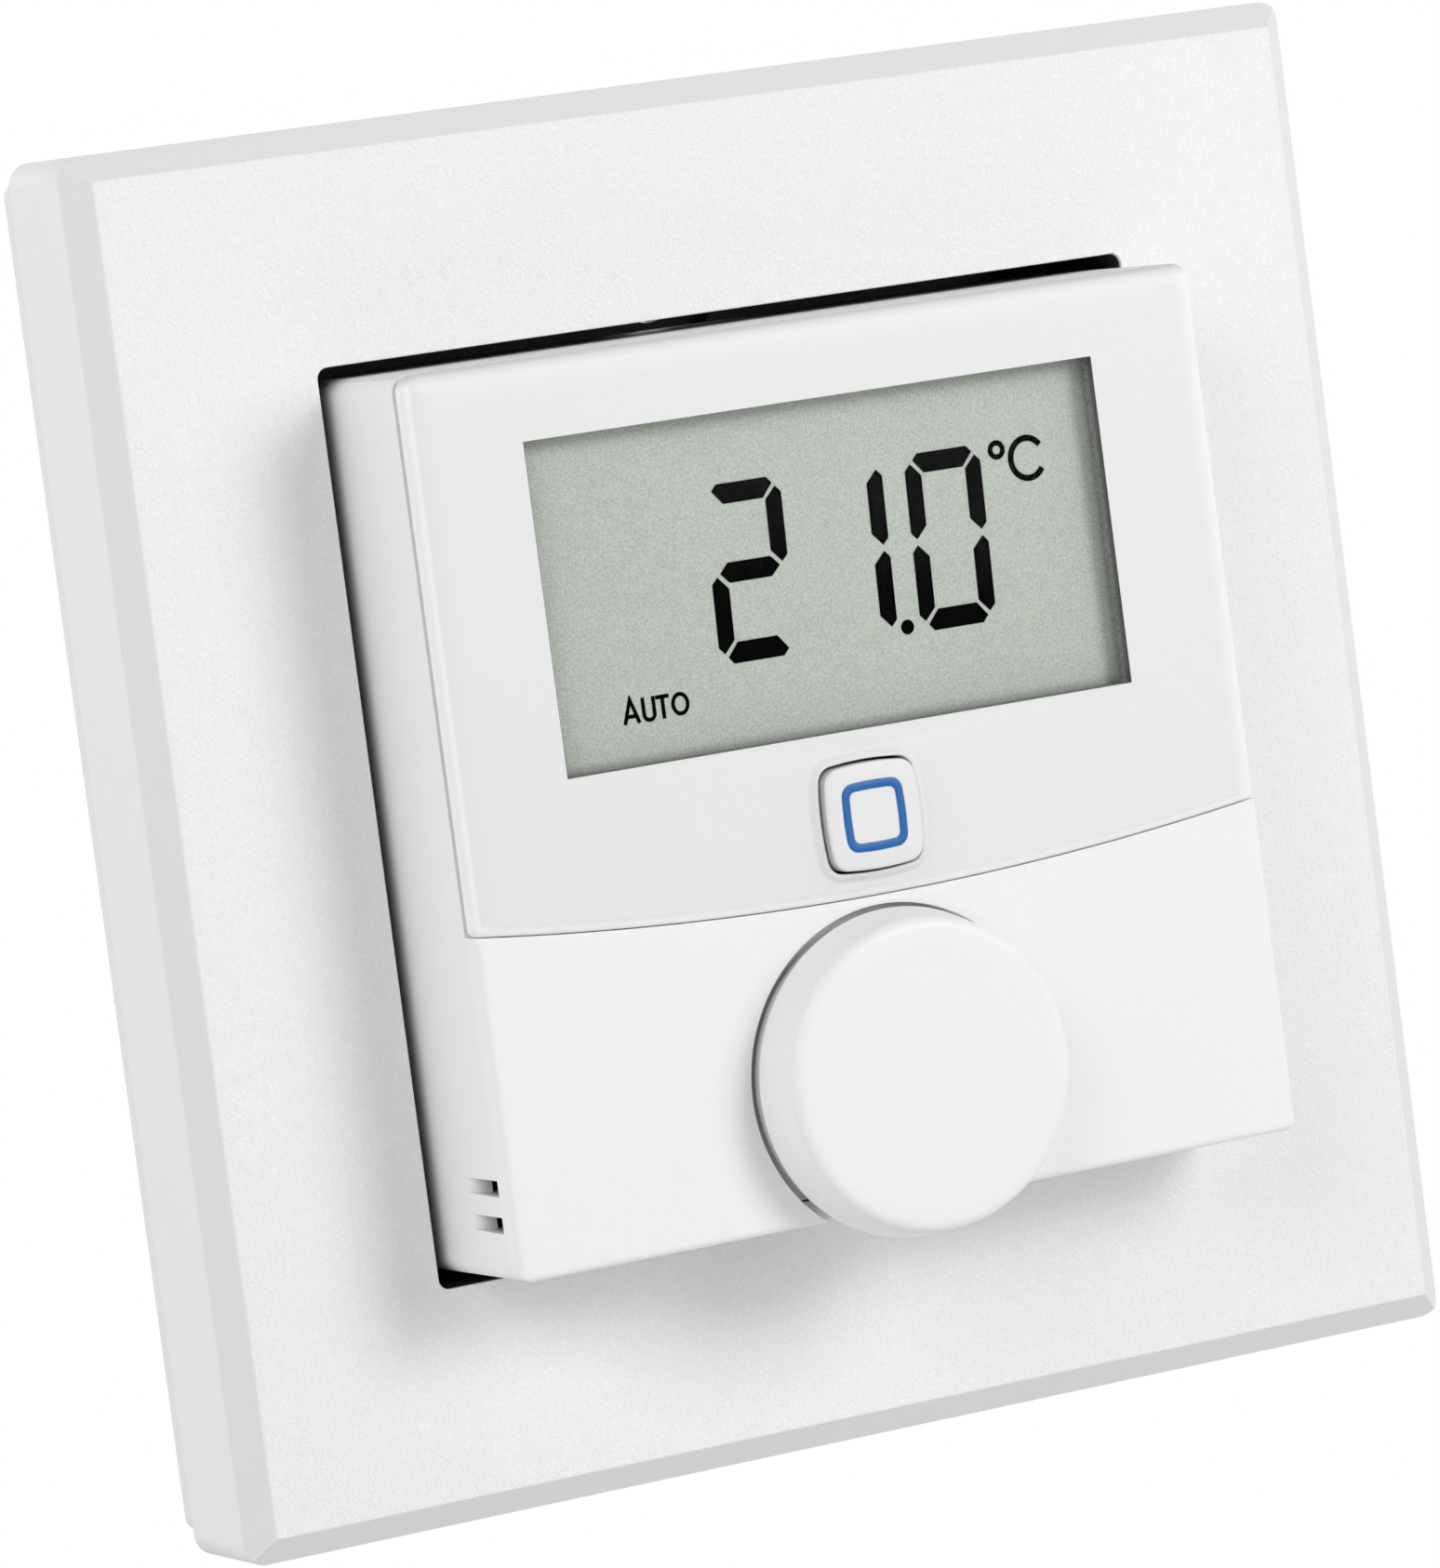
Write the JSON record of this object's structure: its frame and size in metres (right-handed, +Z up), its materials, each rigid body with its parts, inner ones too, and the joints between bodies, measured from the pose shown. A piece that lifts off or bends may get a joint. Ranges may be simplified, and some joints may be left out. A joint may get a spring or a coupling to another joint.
{
  "type": "wall thermostat",
  "caption": "Square white wall thermostat: display and button over a round control wheel, in a bevelled clip-on cover frame on a screw-down mounting plate.",
  "frame": {"origin": "centre of the mounting plate's rear face, on the wall", "axes": "+X to the right and +Z up as seen from the room, -Y out of the wall into the room"},
  "size_m": [0.086, 0.0265, 0.086],
  "materials": {
    "plate_plastic": "moulded, fine satin",
    "frame_plastic": "spark-eroded fine grain",
    "housing_plastic": "fine matte",
    "panel_plastic": "fine matte",
    "clear_cover": "satin clear",
    "white_mask": "satin",
    "foam": "open foam",
    "polariser": "anti-glare film",
    "display_glass": "clear",
    "reflector": "pearl film",
    "holder_plastic": "moulded",
    "zebra_rubber": "striped silicone",
    "circuit_laminate": "solder resist",
    "chip_resin": "moulded resin",
    "shield_metal": "tinned sheet",
    "antenna_wire": "gilt wire",
    "crystal_can": "drawn can",
    "capacitor_can": "sleeved can",
    "sensor_case": "moulded resin",
    "led_lens": "clear resin",
    "switch_metal": "stamped sheet",
    "encoder_metal": "stamped sheet",
    "battery_sleeve": "printed film",
    "terminal_metal": "nickel plated",
    "spring_wire": "nickel plated",
    "screw_steel": "black zinc",
    "pin_brass": "turned",
    "shaft_metal": "turned",
    "wheel_plastic": "fine matte",
    "button_plastic": "satin",
    "ring_plastic": "translucent blue",
    "plunger_plastic": "moulded"
  },
  "bodies": {
    "base": {"mounting_plate": "plate_plastic", "cover_frame": "frame_plastic"},
    "unit": {"unit_housing": "housing_plastic", "front_panel": "panel_plastic", "display_cover": "clear_cover", "cover_mask": "white_mask", "display_gasket": "foam", "lcd_polariser": "polariser", "lcd_glass": "display_glass", "lcd_reflector": "reflector", "lcd_holder": "holder_plastic", "zebra_strip": "zebra_rubber", "circuit_board": "circuit_laminate", "controller_chip": "chip_resin", "radio_module": "shield_metal", "antenna": "antenna_wire", "quartz_crystal": "crystal_can", "capacitors": "capacitor_can", "humidity_sensor": "sensor_case", "status_leds": "led_lens", "button_switch": "switch_metal", "encoder_body": "encoder_metal", "battery_upper": "battery_sleeve", "battery_lower": "battery_sleeve", "battery_terminals": "terminal_metal", "bridge_plate": "terminal_metal", "contact_springs": "spring_wire", "case_screws": "screw_steel"},
    "push_pin": {"encoder_push_pin": "pin_brass"},
    "wheel": {"encoder_shaft": "shaft_metal", "control_wheel": "wheel_plastic"},
    "button": {"system_button": "button_plastic", "light_ring": "ring_plastic", "switch_plunger": "plunger_plastic"}
  },
  "joints": [
    {"name": "unit_pull", "type": "slide", "parent": "base", "child": "unit", "axis": [0, -1, 0], "range_m": [0, 0.03]},
    {"name": "wheel_push", "type": "slide", "parent": "unit", "child": "push_pin", "axis": [0, 1, 0], "range_m": [0, 0.0005], "stiffness_N_per_m": 4000, "springref_m": -0.0004},
    {"name": "wheel_turn", "type": "hinge", "parent": "push_pin", "child": "wheel", "pos_m": [0, -0.0183, -0.0192], "axis": [0, 1, 0], "continuous": true},
    {"name": "button_push", "type": "slide", "parent": "unit", "child": "button", "axis": [0, 1, 0], "range_m": [0, 0.00035], "stiffness_N_per_m": 4000, "springref_m": -0.0003}
  ]
}
